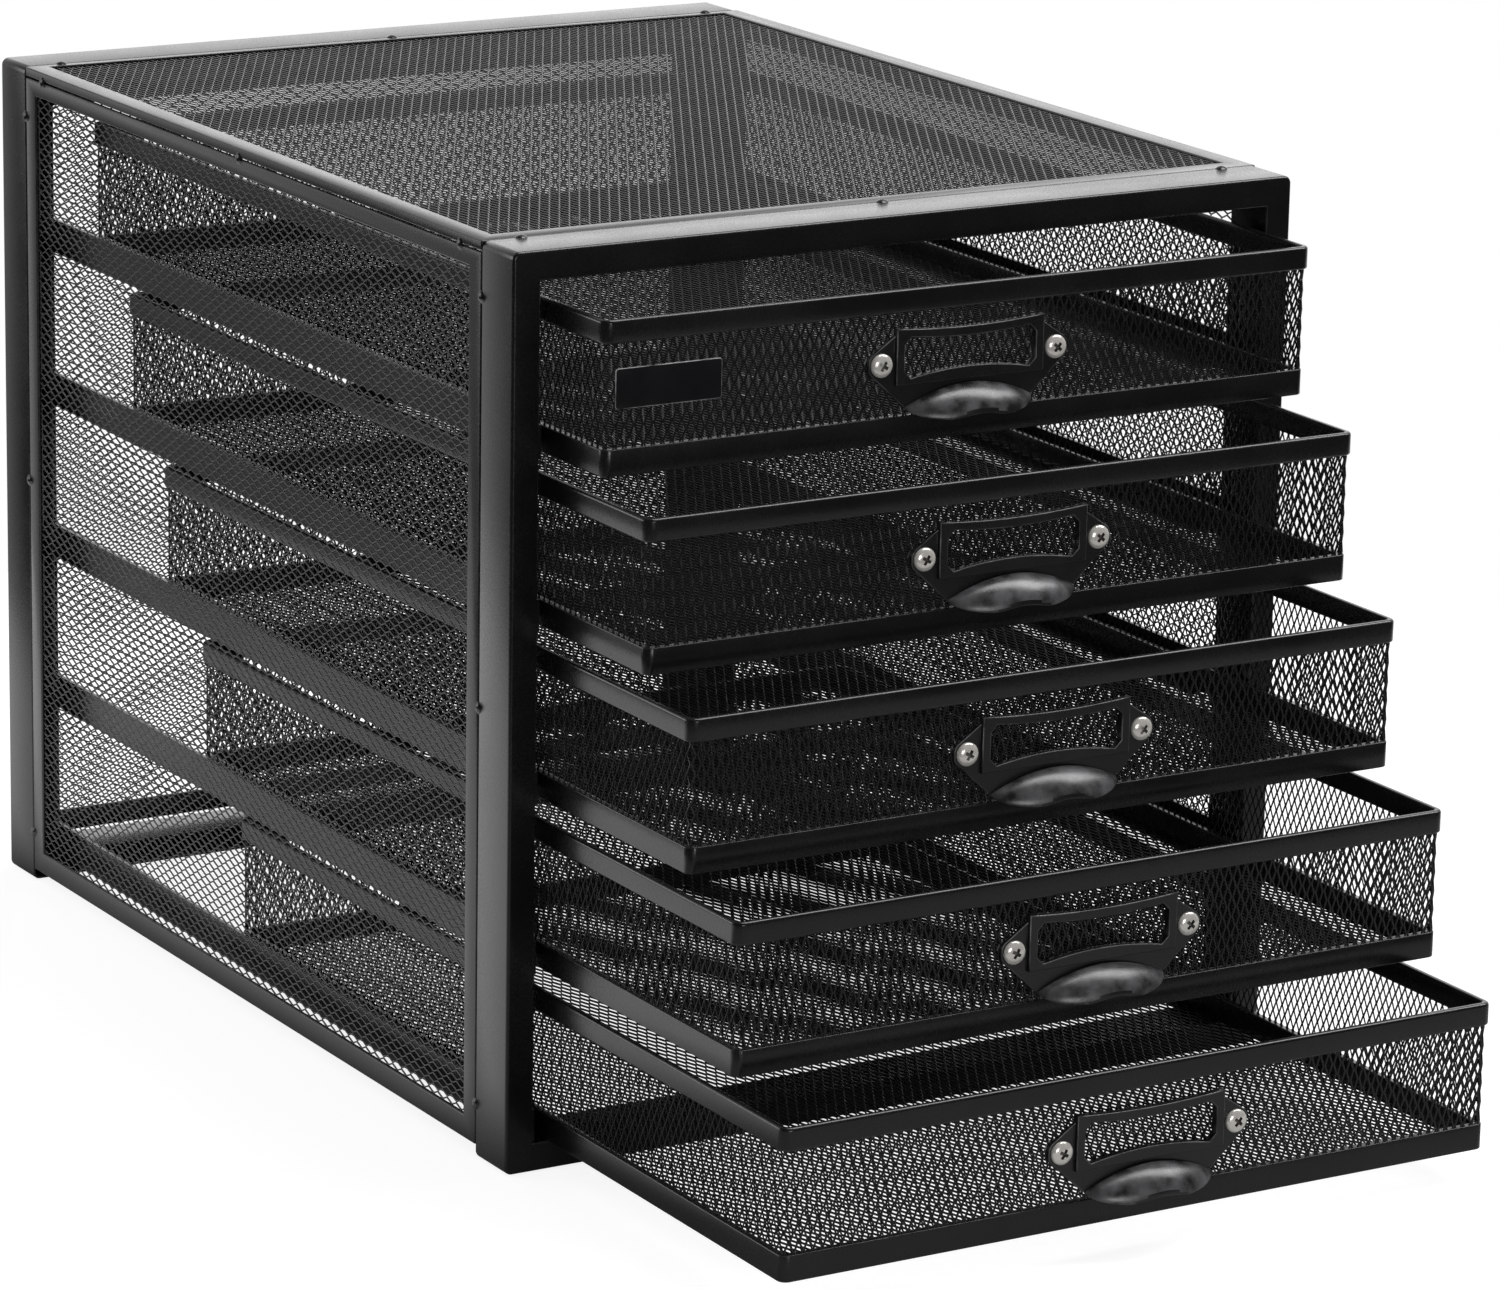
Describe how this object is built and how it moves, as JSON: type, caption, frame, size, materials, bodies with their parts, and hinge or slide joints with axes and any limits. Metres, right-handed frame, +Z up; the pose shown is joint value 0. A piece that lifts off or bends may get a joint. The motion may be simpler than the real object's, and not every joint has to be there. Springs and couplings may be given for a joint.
{
  "type": "desktop drawer cabinet",
  "caption": "Desktop cabinet of mesh drawers that slide on side runners in a steel frame, each with a label holder and finger pull.",
  "frame": {"origin": "on the table, in the middle of the footprint with the drawers pulled out as drawn", "axes": "+Z up, drawers open towards -Y, the cabinet's left side seen from the front at -X"},
  "size_m": [0.2736, 0.5022, 0.2808],
  "materials": {
    "frame_steel": "satin black powder coat",
    "runner_steel": "satin black powder coat",
    "mesh_steel": "satin black powder coat on expanded steel mesh",
    "handle_plastic": "satin black moulded plastic",
    "screw_nickel": "bright nickel plate",
    "nut_zinc": "zinc plate",
    "plate_black": "satin black with a bright edge"
  },
  "bodies": {
    "cabinet": {"back_panel_border": "frame_steel", "back_panel_mesh": "mesh_steel", "front_frame": "frame_steel", "left_panel_border": "frame_steel", "left_panel_mesh": "mesh_steel", "left_runner_1": "runner_steel", "left_runner_2": "runner_steel", "left_runner_3": "runner_steel", "left_runner_4": "runner_steel", "left_runner_5": "runner_steel", "rear_frame": "frame_steel", "right_panel_border": "frame_steel", "right_panel_mesh": "mesh_steel", "right_runner_1": "runner_steel", "right_runner_2": "runner_steel", "right_runner_3": "runner_steel", "right_runner_4": "runner_steel", "right_runner_5": "runner_steel", "top_panel_border": "frame_steel", "top_panel_mesh": "mesh_steel", "weld_beads": "frame_steel"},
    "drawer_1": {"drawer_1_band": "frame_steel", "drawer_1_floor": "mesh_steel", "drawer_1_handle": "handle_plastic", "drawer_1_nuts": "nut_zinc", "drawer_1_rim": "frame_steel", "drawer_1_screws": "screw_nickel", "drawer_1_walls": "mesh_steel", "name_plate": "plate_black"},
    "drawer_2": {"drawer_2_band": "frame_steel", "drawer_2_floor": "mesh_steel", "drawer_2_handle": "handle_plastic", "drawer_2_nuts": "nut_zinc", "drawer_2_rim": "frame_steel", "drawer_2_screws": "screw_nickel", "drawer_2_walls": "mesh_steel"},
    "drawer_3": {"drawer_3_band": "frame_steel", "drawer_3_floor": "mesh_steel", "drawer_3_handle": "handle_plastic", "drawer_3_nuts": "nut_zinc", "drawer_3_rim": "frame_steel", "drawer_3_screws": "screw_nickel", "drawer_3_walls": "mesh_steel"},
    "drawer_4": {"drawer_4_band": "frame_steel", "drawer_4_floor": "mesh_steel", "drawer_4_handle": "handle_plastic", "drawer_4_nuts": "nut_zinc", "drawer_4_rim": "frame_steel", "drawer_4_screws": "screw_nickel", "drawer_4_walls": "mesh_steel"},
    "drawer_5": {"drawer_5_band": "frame_steel", "drawer_5_floor": "mesh_steel", "drawer_5_handle": "handle_plastic", "drawer_5_nuts": "nut_zinc", "drawer_5_rim": "frame_steel", "drawer_5_screws": "screw_nickel", "drawer_5_walls": "mesh_steel"}
  },
  "joints": [
    {"name": "drawer_1_slide", "type": "slide", "parent": "cabinet", "child": "drawer_1", "axis": [0, -1, 0], "range_m": [-0.0301, 0.1999]},
    {"name": "drawer_2_slide", "type": "slide", "parent": "cabinet", "child": "drawer_2", "axis": [0, -1, 0], "range_m": [-0.0562, 0.1738]},
    {"name": "drawer_3_slide", "type": "slide", "parent": "cabinet", "child": "drawer_3", "axis": [0, -1, 0], "range_m": [-0.082, 0.148]},
    {"name": "drawer_4_slide", "type": "slide", "parent": "cabinet", "child": "drawer_4", "axis": [0, -1, 0], "range_m": [-0.1098, 0.1202]},
    {"name": "drawer_5_slide", "type": "slide", "parent": "cabinet", "child": "drawer_5", "axis": [0, -1, 0], "range_m": [-0.1376, 0.0924]}
  ]
}
